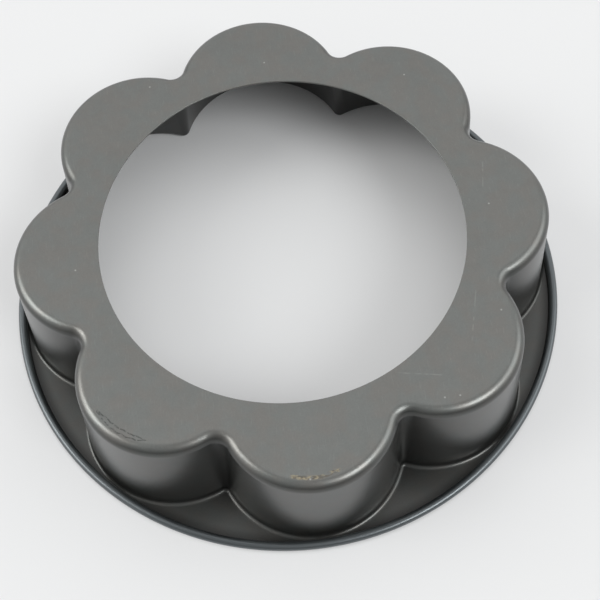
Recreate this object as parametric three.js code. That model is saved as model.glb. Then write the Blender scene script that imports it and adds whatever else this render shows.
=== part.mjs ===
// A flower-shaped cake pan lying mouth down, with its base up and its axis on Z. Millimetres and degrees.
// One sheet of steel is drawn into petals, pierced in the base and rolled round a wire at the rim.
import * as THREE from "three";
import { LoftGeometry } from "three/addons/geometries/LoftGeometry.js";

const petalCount = 8;
const tipDiameter = 260; // across the petal tips, where base and wall would meet in a sharp edge
const notchDiameter = 218; // across the notches between the petals, at the same edge
const height = 60.5; // from the table to the top of the base
const sheet = 0.8;
const draft = 3.55; // the wall leans outwards, towards the mouth
const baseEdgeRadius = 5.2; // outside, between base and wall
const footRadius = 2.2; // outside, between wall and flange
const notchRadius = 0.7; // in a notch's corner, where its foot meets the flange
const ledgeWidth = 15.5; // flat of the base between its hole and a notch's rounding
const tipLand = 0.05; // flat of the flange between a petal's foot and the rolled rim
const wireDiameter = 2.2;
const wireClearance = 0.3; // between the wire and the sheet rolled round it
const wireGap = 1.5; // between the butted ends of the wire
const curlSlit = 0.3; // left open between the flange and the sheet's rolled edge

const petalSteps = 12;
const notchSteps = 2; // from the middle of a notch to either petal
const baseEdgeSteps = 4;
const footSteps = 3;
const curlSteps = 10;
const wireSteps = 96;
const wireSides = 8;

const lean = THREE.MathUtils.degToRad(draft);
const upright = Math.PI / 2;
const halfPitch = Math.PI / petalCount;
const axis = new THREE.Vector2();
const shares = (count) => Array.from({ length: count + 1 }, (_, i) => i / count);
const onArc = (centre, radius, angle) =>
  new THREE.Vector2(Math.cos(angle), Math.sin(angle)).multiplyScalar(radius).add(centre);
const arc = (centre, radius, from, to, count) =>
  shares(count).map((t) => onArc(centre, radius, THREE.MathUtils.lerp(from, to, t)));

// The sheet's section, square to the petal outline: x runs outwards from the base's sharp edge, y is height.
const bend = Math.tan((upright - lean) / 2);
const flare = (height - sheet) * Math.tan(lean);
const baseEdgeCentre = new THREE.Vector2(-baseEdgeRadius * bend, height - baseEdgeRadius);
const footCentre = new THREE.Vector2(flare + footRadius * bend, sheet + footRadius);
// From the base down to the flange: the outside of the sheet has depth 0, and its inside has depth sheet.
const drawnSkin = (depth) => [
  ...arc(baseEdgeCentre, baseEdgeRadius - depth, upright, lean, baseEdgeSteps),
  ...arc(footCentre, -footRadius - depth, lean, upright, footSteps),
];

// The petal outline at the base's sharp edge. A petal's arc runs through its tip and touches a hollow arc in
// the notch on each side, whose radius shrinks as the wall flares out.
const notchEdgeRadius = notchRadius + footCentre.x;
const notchCentre = onArc(axis, notchDiameter / 2 + notchEdgeRadius, halfPitch);
const notchBehindTip = tipDiameter / 2 - notchCentre.x;
const petalRadius =
  (notchBehindTip ** 2 + notchCentre.y ** 2 - notchEdgeRadius ** 2) /
  (2 * (notchEdgeRadius + notchBehindTip));
const petalCentre = new THREE.Vector2(tipDiameter / 2 - petalRadius, 0);
const petalTurn = notchCentre.clone().sub(petalCentre).angle();

const petalArc = shares(petalSteps).map((t) => {
  const normal = THREE.MathUtils.lerp(-petalTurn, petalTurn, t);
  return { normal, point: onArc(petalCentre, petalRadius, normal) };
});
const notchArc = shares(notchSteps).map((t) => {
  const normal = THREE.MathUtils.lerp(petalTurn, halfPitch, t);
  return { normal, point: onArc(notchCentre, -notchEdgeRadius, normal) };
});
const notchBefore = notchArc.toReversed().map(({ normal, point }) => ({
  normal: -normal,
  point: new THREE.Vector2(point.x, -point.y),
}));
// Neighbouring arcs share their end points, so each point is taken once.
const petalOutline = [...notchBefore.slice(0, -1), ...petalArc, ...notchArc.slice(1, -1)];
const stations = Array.from({ length: petalCount }, (_, i) => 2 * halfPitch * i).flatMap((turn) =>
  petalOutline.map(({ normal, point }) => ({
    normal: normal + turn,
    point: point.clone().rotateAround(axis, turn),
  })),
);

// The rolled rim: the flange's edge is turned up and inwards round the wire.
const wireRadius = wireDiameter / 2;
const beadRadius = wireRadius + wireClearance + sheet;
const beadCentre = new THREE.Vector2(tipDiameter / 2 + footCentre.x + tipLand + beadRadius, beadRadius);
const curlEnd = Math.PI + Math.asin((beadRadius - sheet - curlSlit) / beadRadius);
const rolledSkin = (radius) => arc(beadCentre, radius, -upright, curlEnd, curlSteps);

// One closed section of the sheet at a station. The hole and the rim are round, so their points lie on the
// rays through the nearest points of the petal outline.
const holeRadius = notchDiameter / 2 + baseEdgeCentre.x - ledgeWidth;
function sheetSection({ normal, point }) {
  const across = (p) => onArc(point, p.x, normal);
  const drawn = (p) => new THREE.Vector3(...across(p), p.y);
  const round = (ray) => (p) => new THREE.Vector3(...onArc(axis, p.x, ray), p.y);
  const pierced = round(across(baseEdgeCentre).angle());
  const rolled = round(across(footCentre).angle());
  return [
    pierced(new THREE.Vector2(holeRadius, height)),
    ...drawnSkin(0).map(drawn),
    ...rolledSkin(beadRadius - sheet).map(rolled),
    ...rolledSkin(beadRadius).toReversed().map(rolled),
    ...drawnSkin(sheet).toReversed().map(drawn),
    pierced(new THREE.Vector2(holeRadius, height - sheet)),
  ];
}

const sheetSections = stations.map(sheetSection);
const coatedSteel = new THREE.MeshStandardMaterial({ color: 0x5a5b59, roughness: 0.45, metalness: 0.6 });
const panShell = new THREE.Mesh(new LoftGeometry([...sheetSections, sheetSections[0]]), coatedSteel);
panShell.name = "pan_shell";

// The wire: bent to a ring inside the rolled rim, with its two ends butted.
const wireEnd = wireGap / 2 / beadCentre.x;
const wireOutline = arc(beadCentre, wireRadius, 0, -2 * Math.PI, wireSides).slice(1);
const wireSections = shares(wireSteps)
  .map((t) => THREE.MathUtils.lerp(wireEnd, 2 * Math.PI - wireEnd, t))
  .map((turn) => wireOutline.map((p) => new THREE.Vector3(...onArc(axis, p.x, turn), p.y)));
const brightSteel = new THREE.MeshStandardMaterial({ color: 0x9aa0a3, roughness: 0.35, metalness: 0.9 });
const wireEnds = { capStart: true, capEnd: true };
const rimWire = new THREE.Mesh(new LoftGeometry(wireSections, wireEnds), brightSteel);
rimWire.name = "rim_wire";

const pan = new THREE.Group();
pan.add(panShell, rimWire);
export default pan;
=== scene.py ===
import math

import bpy
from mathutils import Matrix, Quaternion, Vector


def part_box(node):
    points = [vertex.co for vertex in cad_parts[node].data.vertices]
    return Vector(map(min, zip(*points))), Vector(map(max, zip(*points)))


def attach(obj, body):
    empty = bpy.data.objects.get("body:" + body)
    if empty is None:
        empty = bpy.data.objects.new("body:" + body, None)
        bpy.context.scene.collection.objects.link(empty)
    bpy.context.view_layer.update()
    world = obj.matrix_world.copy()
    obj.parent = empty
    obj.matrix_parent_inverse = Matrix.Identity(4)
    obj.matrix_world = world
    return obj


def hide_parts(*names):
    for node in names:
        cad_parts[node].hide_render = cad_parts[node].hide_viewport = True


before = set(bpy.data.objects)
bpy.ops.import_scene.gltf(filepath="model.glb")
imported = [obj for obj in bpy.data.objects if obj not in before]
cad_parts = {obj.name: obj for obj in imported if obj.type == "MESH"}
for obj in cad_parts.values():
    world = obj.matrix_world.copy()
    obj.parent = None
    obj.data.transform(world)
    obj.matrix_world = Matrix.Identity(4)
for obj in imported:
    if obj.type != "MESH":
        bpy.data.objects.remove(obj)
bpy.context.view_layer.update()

# The pan: one sheet of steel, drawn into eight petals, pierced in the base and turned out to a flat flange.
# The flange's edge is rolled up and inwards to a round rim. The pan lies mouth down, with its base up.
# All of it has the same satin grey non-stick coating, baked on before use, with the marks of some use.
mm = 0.001
petal_count = 8
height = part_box("pan_shell")[1].z
rim_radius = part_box("pan_shell")[1].x
tip_radius = 130 * mm  # to a petal's tip, where base and wall would meet in a sharp edge
notch_radius = 109 * mm  # to the notch between two petals, at the same edge
sheet = 0.8 * mm
lean = math.radians(3.55)  # of the wall, outwards to the mouth
base_edge_radius = 5.2 * mm
foot_radius = 2.2 * mm
notch_corner_radius = 0.7 * mm  # where the notch's foot meets the flange
ledge_width = 15.5 * mm  # flat of the base between its hole and a notch's rounding
pierced_radius = 0.2 * mm  # the punch leaves the upper edge of the hole slightly rounded
bead_radius = 2.2 * mm
curl_slit = 0.3 * mm  # left open between the flange and the sheet's rolled edge
edge_support = 0.25 * mm  # how close to a bend the flat beside it has its first row of vertices

petal_steps = 32  # from a petal's tip to its end on either side
notch_steps = 8  # from a notch's middle to either petal
base_edge_steps = 14
foot_steps = 8
curl_inner_steps = 24
curl_outer_steps = 32
pierced_steps = 4
flat_rows = 4
closest_share = 0.1  # taken instead on a flat too short for the edge support
crease = math.radians(35)  # a sharper bend than this is shaded as an edge

upright = math.pi / 2
half_pitch = math.pi / petal_count
origin = Vector((0, 0))


def on_arc(centre, radius, angle):
    return centre + radius * Vector((math.cos(angle), math.sin(angle)))


def arc(centre, radius, start, end, steps):
    return [on_arc(centre, radius, start + (end - start) * i / steps) for i in range(steps + 1)]


def rows(start, end):
    """Points between two bends: one close to each of them, and even ones between."""
    close = min(edge_support / (end - start).length, closest_share)
    shares = [close] + [i / flat_rows for i in range(1, flat_rows)] + [1 - close]
    return [start.lerp(end, share) for share in shares]


# The sheet's section, square to the petal outline: x runs outwards from the base's sharp edge, y is height.
bend = math.tan((upright - lean) / 2)
flare = (height - sheet) * math.tan(lean)
base_edge_centre = Vector((-base_edge_radius * bend, height - base_edge_radius))
foot_centre = Vector((flare + foot_radius * bend, sheet + foot_radius))


def drawn_skin(depth):
    """From base to flange, that deep in the sheet: 0 is its outside, its whole thickness the inside."""
    base_edge = arc(base_edge_centre, base_edge_radius - depth, upright, lean, base_edge_steps)
    foot = arc(foot_centre, -foot_radius - depth, lean, upright, foot_steps)
    return [*base_edge, *rows(base_edge[-1], foot[0]), *foot]


# The petal outline: a petal's arc through its tip touches a hollow arc in the notch on each side.
notch_edge_radius = notch_corner_radius + foot_centre.x
notch_centre = on_arc(origin, notch_radius + notch_edge_radius, half_pitch)
notch_behind_tip = tip_radius - notch_centre.x
petal_radius = (notch_behind_tip**2 + notch_centre.y**2 - notch_edge_radius**2) / (
    2 * (notch_edge_radius + notch_behind_tip)
)
petal_centre = Vector((tip_radius - petal_radius, 0))
petal_turn = math.atan2(notch_centre.y, notch_centre.x - petal_centre.x)

outline = []
for i in range(-petal_steps, petal_steps):
    turn = petal_turn * i / petal_steps
    outline.append((on_arc(petal_centre, petal_radius, turn), turn))
for i in range(2 * notch_steps):
    turn = petal_turn + (half_pitch - petal_turn) * i / notch_steps
    outline.append((on_arc(notch_centre, -notch_edge_radius, turn), turn))

bead_centre = Vector((rim_radius - bead_radius, bead_radius))
curl_inner_radius = bead_radius - sheet
curl_end = math.pi + math.asin((curl_inner_radius - curl_slit) / bead_radius)
rolled_skin = [
    *arc(bead_centre, curl_inner_radius, -upright, curl_end, curl_inner_steps),
    *arc(bead_centre, bead_radius, curl_end, -upright, curl_outer_steps),
]
hole_radius = notch_radius + base_edge_centre.x - ledge_width
pierced_corner = Vector((hole_radius + pierced_radius, height - pierced_radius))
pierced_skin = [
    Vector((hole_radius, height - sheet)),
    *arc(pierced_corner, pierced_radius, math.pi, upright, pierced_steps),
]


def sheet_section(point, turn):
    """One closed section of the sheet. The hole and the rim are round, the rest follows the petal outline."""

    def across(p):
        return on_arc(point, p.x, turn)

    def drawn(p):
        return Vector((*across(p), p.y))

    def round_at(ray, p):
        return Vector((*on_arc(origin, p.x, ray), p.y))

    hole_ray = math.atan2(*across(base_edge_centre).yx)
    rim_ray = math.atan2(*across(foot_centre).yx)
    pierced = [round_at(hole_ray, p) for p in pierced_skin]
    outside = [drawn(p) for p in drawn_skin(0)]
    rolled = [round_at(rim_ray, p) for p in rolled_skin]
    inside = [drawn(p) for p in reversed(drawn_skin(sheet))]
    return [
        *pierced,
        *rows(pierced[-1], outside[0]),
        *outside,
        *rows(outside[-1], rolled[0]),
        *rolled,
        *rows(rolled[-1], inside[0]),
        *inside,
        *rows(inside[-1], pierced[0]),
    ]


def turned(point, turn, angle):
    cos, sin = math.cos(angle), math.sin(angle)
    return Vector((cos * point.x - sin * point.y, sin * point.x + cos * point.y)), turn + angle


def loft(name, sections, closed):
    """A smooth mesh through closed sections that run clockwise, joined end to end or capped at both ends."""
    count, size = len(sections), len(sections[0])
    faces = []
    for i in range(count if closed else count - 1):
        a, b = i * size, (i + 1) % count * size
        faces += [(a + j, a + (j + 1) % size, b + (j + 1) % size, b + j) for j in range(size)]
    if not closed:
        faces += [tuple(reversed(range(size))), tuple(range((count - 1) * size, count * size))]
    mesh = bpy.data.meshes.new(name)
    mesh.from_pydata([p for section in sections for p in section], [], faces)
    mesh.shade_smooth()
    mesh.set_sharp_from_angle(angle=crease)
    piece = bpy.data.objects.new(name, mesh)
    bpy.context.scene.collection.objects.link(piece)
    return piece


stations = [
    turned(point, turn, 2 * half_pitch * petal)
    for petal in range(petal_count)
    for point, turn in outline
]
pan = loft("pan", [sheet_section(*station) for station in stations], closed=True)
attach(pan, "root")
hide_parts("pan_shell")


class Shade:
    """A socket in a node tree. Operators on it add Math nodes, and node() adds any other node."""

    def __init__(self, tree, socket=None):
        self.tree = tree
        self.socket = socket

    def node(self, kind, settings=None, sockets=None, output=0):
        made = self.tree.nodes.new("ShaderNode" + kind)
        for name, value in (settings or {}).items():
            setattr(made, name, value)
        for name, value in (sockets or {}).items():
            if isinstance(value, Shade):
                self.tree.links.new(value.socket, made.inputs[name])
            else:
                made.inputs[name].default_value = value
        return Shade(self.tree, made.outputs[output] if made.outputs else None)

    def math(self, operation, *values):
        return self.node("Math", {"operation": operation}, dict(enumerate(values)))

    def __add__(self, other):
        return self.math("ADD", self, other)

    def __radd__(self, other):
        return self.math("ADD", other, self)

    def __sub__(self, other):
        return self.math("SUBTRACT", self, other)

    def __rsub__(self, other):
        return self.math("SUBTRACT", other, self)

    def __mul__(self, other):
        return self.math("MULTIPLY", self, other)

    def __rmul__(self, other):
        return self.math("MULTIPLY", other, self)

    def __abs__(self):
        return self.math("ABSOLUTE", self)

    def rise(self, start, end):
        """0 before start and 1 past end, with a smooth step between."""
        return self.node(
            "MapRange",
            {"interpolation_type": "SMOOTHSTEP"},
            {"Value": self, "From Min": start, "From Max": end},
        )

    def fall(self, start, end):
        """1 before start and 0 past end."""
        return 1 - self.rise(start, end)

    def between(self, start, end, soft):
        """1 from start to end and 0 outside, with a smooth step of twice the softness at both."""
        return self.rise(start - soft, start + soft) * self.fall(end - soft, end + soft)

    def tint(self, plain, marked):
        """A colour that goes from plain to marked as this value goes from 0 to 1."""
        return self.node(
            "Mix", {"data_type": "RGBA"}, {"Factor": self, "A": plain, "B": marked}, output="Result"
        )


def new_material(name):
    material = bpy.data.materials.new(name)
    material.use_nodes = True
    material.node_tree.nodes.clear()
    return material, Shade(material.node_tree)


material, shade = new_material("satin_coating")
place = shade.node(
    "VectorMath", {"operation": "SCALE"}, {0: shade.node("TexCoord", output="Object"), "Scale": 1 / mm}
)
x, y, z = (shade.node("SeparateXYZ", {}, {0: place}, output=axis) for axis in "XYZ")
from_axis = shade.math("SQRT", x * x + y * y)

# Where the marks lie, in millimetres as the shader has them.
base_level = height / mm
flange_level = sheet / mm
notch_reach = notch_radius / mm
rim_reach = (rim_radius - 2 * bead_radius) / mm
flat_reach = (petal_radius - base_edge_radius * bend) / mm  # of a petal's flat top, from the petal's centre


def mottle(width, detail, stretch=1):
    """Noise from 0 to 1 with patches about so many millimetres wide, and longer along Y by the stretch."""
    grid = shade.node(
        "VectorMath", {"operation": "MULTIPLY"}, {0: place, 1: (1 / width, 1 / width / stretch, 1 / width)}
    )
    return shade.node("TexNoise", {}, {"Vector": grid, "Scale": 1.0, "Detail": detail})


def on_petal(angle):
    """How far a point is from a petal's centre, and its bearing there from the petal's middle, in degrees."""
    cos, sin = math.cos(angle), math.sin(angle)
    ahead = cos * x + sin * y - petal_centre.x / mm
    aside = cos * y - sin * x
    reach = shade.math("SQRT", ahead * ahead + aside * aside)
    return reach, shade.math("ARCTAN2", aside, ahead) * math.degrees(1)


# The coating itself is grey, with a faint green or brown cast in patches, finely speckled and cloudy.
# The wall, the flange and the lower part of the base's rounded edge are darkened below the base's top as
# painted shade, and all of it is a little paler towards the front.
green_cast = (0.169, 0.177, 0.170, 1)
brown_cast = (0.176, 0.174, 0.164, 1)
speckle = mottle(0.8, 3)
cast = mottle(9, 2).rise(0.35, 0.65)
top_clear_of_painted_shade = z.rise(base_level - 3, base_level - 0.2)
tone = 0.79 + 0.2 * speckle + 0.1 * mottle(5, 2) + 0.12 * mottle(30, 3)
tone = tone * (0.46 + 0.54 * top_clear_of_painted_shade) * (1 - 0.0006 * y)

# Painted shadow darkens the flange along the rolled rim, and painted shade darkens the notches up to their
# edges, dimming the highlight on their rounded edges.
painted_rim_shadow = from_axis.rise(rim_reach - 5.8, rim_reach - 0.3) * z.fall(flange_level, flange_level + 0.4)
painted_notch_shade = from_axis.fall(notch_reach + 2, notch_reach + 18) * z.fall(base_level - 4.5, base_level - 1.5)
painted_notch_edge_shade = from_axis.fall(notch_reach - 1, notch_reach + 7) * z.fall(base_level - 0.9, base_level - 0.2)
tone = tone * (1 - 0.6 * painted_rim_shadow) * (1 - 0.38 * painted_notch_shade) * (1 - 0.25 * painted_notch_edge_shade)

# Wiping has rubbed faint streaks into the base, mostly one way, and left a few longer, broken scratches.
scratch_ends = [((85.5, -45), (78.5, -70.5)), ((42, -81), (64, -85.5)), ((103, 24.5), (100, 9.5))]
streaks = mottle(0.6, 1, stretch=9).rise(0.63, 0.72)
scratches = 0.0
for start, end in scratch_ends:
    run = Vector(end) - Vector(start)
    length = run.length
    run.normalize()
    along = run.x * (x - start[0]) + run.y * (y - start[1])
    across = run.x * (y - start[1]) - run.y * (x - start[0])
    scratches = scratches + abs(across).fall(0.15, 0.45) * along.between(0.5, length - 0.5, 1.5)
scratches = scratches * mottle(3, 1).rise(0.35, 0.6)
on_base = z.rise(base_level - 1.5, base_level - 0.5)
tone = tone + on_base * (0.09 * streaks + 0.26 * scratches)

# A dried splash on one petal has left a thin, broken, dark outline just inside the edge.
splash_petal = math.radians(-135)
splash_middle, splash_half_length = 4.5, 24.5  # degrees round the petal
reach, bearing = on_petal(splash_petal)
splash_along = (bearing - splash_middle) * (1 / splash_half_length)
splash_half = 1 - splash_along * splash_along + 2 * (mottle(4, 1) - 0.5)
splash_edge = abs(abs(reach - (flat_reach - 0.9)) - splash_half).fall(0.1, 0.6)
splash_edge = splash_edge * abs(splash_along).fall(0.9, 1.0) * mottle(1, 2).rise(0.36, 0.56)
tone = tone * (1 - 0.5 * splash_edge)

# Fat baked on at the edge of the next petal is tan where it is thin and brown where it is thick.
fat_petal = math.radians(-90)
fat_brown = (0.075, 0.062, 0.042, 1)
fat_tan = (0.28, 0.235, 0.145, 1)
reach, bearing = on_petal(fat_petal)
fat_line = flat_reach - 0.5 - bearing.rise(0, 14)
fat_crumbs = mottle(2.4, 2, stretch=0.4).rise(0.38, 0.58)
fat = 0.85 * abs(reach - fat_line).fall(0.4, 1.4) * bearing.between(-20, 16, 2) * fat_crumbs
fat_colour = mottle(1.8, 1, stretch=0.5).rise(0.42, 0.62).tint(fat_brown, fat_tan)

# Flour dust lies on the base in a few white specks.
flour_white = (0.5, 0.5, 0.48, 1)
back_specks = [(-56, 95), (4, 101), (74, 82), (101, 0), (-100, -6)]
front_specks = [(95, -57), (61, -96), (68, -96), (-4, -125)]
flour = 0.0
for spot in back_specks + front_specks:
    speck = (*spot, base_level)
    off = shade.node("VectorMath", {"operation": "DISTANCE"}, {0: place, 1: speck}, output="Value")
    flour = flour + 0.5 * off.fall(0.15, 0.65)

# On the rolled rim the coating is coloured a little bluer.
rim_blue = (0.118, 0.132, 0.139, 1)
rolled_rim = from_axis.rise(rim_reach - 0.4, rim_reach + 0.4) * z.rise(flange_level, flange_level + 0.4)
colour = shade.node(
    "Mix",
    {"data_type": "RGBA", "blend_type": "MULTIPLY"},
    {
        "Factor": 1.0,
        "A": cast.tint(green_cast, brown_cast),
        "B": shade.node("CombineColor", {}, {0: tone, 1: tone, 2: tone}),
    },
    output="Result",
)
colour = rolled_rim.tint(colour, rim_blue)
colour = fat.tint(colour, fat_colour)
colour = flour.tint(colour, flour_white)
finish = shade.node(
    "BsdfPrincipled",
    {},
    {
        "Base Color": colour,
        "Metallic": 0.85 * (1 - fat) * (1 - flour),
        "Roughness": 0.34 + 0.06 * speckle + 0.2 * fat,
        "Coat Weight": 0.4,
        "Coat Roughness": 0.2,
        "Normal": shade.node(
            "Bump", {}, {"Height": mottle(0.3, 2), "Strength": 0.12, "Distance": 0.05 * mm}
        ),
    },
)
shade.node("OutputMaterial", {}, {"Surface": finish})
pan.data.materials.append(material)

# The rim wire: a round of bright drawn steel wire, bent to a ring that stiffens the rim.
# The sheet's edge is rolled round it, and its cut ends butt together inside the roll.
wire_radius = 1.1 * mm
wire_gap = 1.5 * mm
wire_end = wire_gap / 2 / bead_centre.x
wire_steps = 240
wire_sides = 20
dull_steel = (0.50, 0.51, 0.52, 1)
bright_steel = (0.60, 0.61, 0.62, 1)
wire_outline = arc(bead_centre, wire_radius, 0, -2 * math.pi, wire_sides)[:-1]
wire_sections = []
for i in range(wire_steps + 1):
    turn = wire_end + (2 * math.pi - 2 * wire_end) * i / wire_steps
    wire_sections.append([Vector((*on_arc(origin, p.x, turn), p.y)) for p in wire_outline])
wire = loft("wire", wire_sections, closed=False)
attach(wire, "root")
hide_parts("rim_wire")

material, shade = new_material("drawn_wire")
draw_marks = shade.node(
    "TexNoise", {}, {"Vector": shade.node("TexCoord", output="Object"), "Scale": 900.0, "Detail": 2.0}
)
finish = shade.node(
    "BsdfPrincipled",
    {},
    {
        "Base Color": draw_marks.tint(dull_steel, bright_steel),
        "Metallic": 1.0,
        "Roughness": 0.25 + 0.15 * draw_marks,
    },
)
shade.node("OutputMaterial", {}, {"Surface": finish})
wire.data.materials.append(material)

# The table: a wide board painted matt white, greyer far from the pan, which lies on it by its flange.
# To the camera, in reflections and through glass a share of the paint glows white, so that the pan's shadow
# stays light around the pan. Inside the pan the share is less, and under its wall there is none.
table_half = 8  # metres, far past the edges of the picture
table_top = -0.1 * mm
near_white = (0.745, 0.75, 0.755, 1)
far_grey = (0.3, 0.3, 0.3, 1)
glow_white = (0.825, 0.83, 0.835, 1)
glow_inside = 0.34
glow_outside = 0.42
floor_fade = (50 * mm, 125 * mm)  # from the axis, where the glow inside the pan ends
rim_fade = (137 * mm, 142 * mm)  # where the glow outside the pan begins
far_fade = (300 * mm, 800 * mm)  # where the paint turns grey
table_corners = [
    (x_side * table_half, y_side * table_half, table_top)
    for x_side, y_side in [(-1, -1), (1, -1), (1, 1), (-1, 1)]
]
table_mesh = bpy.data.meshes.new("table")
table_mesh.from_pydata(table_corners, [], [(0, 1, 2, 3)])
table = bpy.data.objects.new("table", table_mesh)
bpy.context.scene.collection.objects.link(table)

material, shade = new_material("table_white")
seen, mirrored, through = (
    shade.node("LightPath", output=kind + " Ray") for kind in ("Is Camera", "Is Glossy", "Is Transmission")
)
shown = shade.math("MAXIMUM", shade.math("MAXIMUM", seen, mirrored), through)
from_pan = shade.node(
    "VectorMath", {"operation": "LENGTH"}, {0: shade.node("TexCoord", output="Object")}, output="Value"
)
far = from_pan.rise(*far_fade)
inside = from_pan.fall(*floor_fade)
outside = from_pan.rise(*rim_fade)
glow = glow_inside * inside + glow_outside * outside * (1 - far)
paint = shade.node("BsdfPrincipled", {}, {"Base Color": far.tint(near_white, far_grey), "Roughness": 0.7})
white = shade.node("Emission", {}, {"Color": glow_white, "Strength": 1.0})
finish = shade.node("MixShader", {}, {0: glow * shown, 1: paint, 2: white})
shade.node("OutputMaterial", {}, {"Surface": finish})
table_mesh.materials.append(material)

# The light: a room with a white wall behind the pan, pale sides and a pale ceiling, dark only in front.
# Four soft lamps stand round the table, two of them close together on the left.
world = bpy.data.worlds.new("room")
world.use_nodes = True
world.node_tree.nodes.clear()
bpy.context.scene.world = world
shade = Shade(world.node_tree)
heading = shade.node("TexCoord", output="Generated")
aside, behind, up = (shade.node("SeparateXYZ", {}, {0: heading}, output=axis) for axis in "XYZ")
back_wall = (1.2 * behind - abs(aside)).rise(-0.1, 0.1)
side_walls = abs(aside).rise(0.6, 0.95)
ceiling = up.rise(-0.05, 0.5)
room = 0.06 + 0.31 * ceiling + 0.63 * back_wall + 0.66 * side_walls
shade.node("OutputWorld", {}, {"Surface": shade.node("Background", {}, {"Color": room, "Strength": 1.0})})


def soft_lamp(name, azimuth, elevation, width, strength, colour):
    """A lamp far away, so many degrees round from +X, above the table and across."""
    lamp = bpy.data.lights.new(name, "SUN")
    lamp.angle = math.radians(width)
    lamp.energy = strength
    lamp.color = colour
    holder = bpy.data.objects.new(name, lamp)
    a, e = math.radians(azimuth), math.radians(elevation)
    towards = Vector((math.cos(a) * math.cos(e), math.sin(a) * math.cos(e), math.sin(e)))
    holder.rotation_mode = "QUATERNION"
    holder.rotation_quaternion = towards.to_track_quat("Z", "Y")
    bpy.context.scene.collection.objects.link(holder)


cool, warm = (0.99, 1.0, 1.0), (1.0, 1.0, 0.98)
soft_lamp("front_lamp", azimuth=315, elevation=48, width=26, strength=1.1, colour=cool)
soft_lamp("right_lamp", azimuth=0, elevation=39, width=40, strength=0.52, colour=cool)
soft_lamp("left_lamp", azimuth=180, elevation=48, width=26, strength=0.64, colour=warm)
soft_lamp("low_left_lamp", azimuth=168, elevation=30, width=34, strength=0.64, colour=warm)

# The camera: it looks steeply down over the front of the pan, from a little to the left.
# It is held turned a little about its own line of sight, and everything is in focus.
camera_aim = Vector((4.72, -22.69, 30.1)) * mm
camera_distance = 609.5 * mm
camera_azimuth = math.radians(-4.47)
camera_elevation = math.radians(63.37)
camera_roll = math.radians(-3.81)
back = Vector(
    (
        math.sin(camera_azimuth) * math.cos(camera_elevation),
        -math.cos(camera_azimuth) * math.cos(camera_elevation),
        math.sin(camera_elevation),
    )
)
camera_data = bpy.data.cameras.new("camera")
camera_data.lens = 73.92
camera_data.sensor_width = 36
camera_data.clip_start = 0.01
camera = bpy.data.objects.new("camera", camera_data)
camera.location = camera_aim + camera_distance * back
camera.rotation_mode = "QUATERNION"
camera.rotation_quaternion = (-back).to_track_quat("-Z", "Y") @ Quaternion((0, 0, 1), camera_roll)
bpy.context.scene.collection.objects.link(camera)
bpy.context.scene.camera = camera
bpy.context.scene.view_settings.view_transform = "Standard"
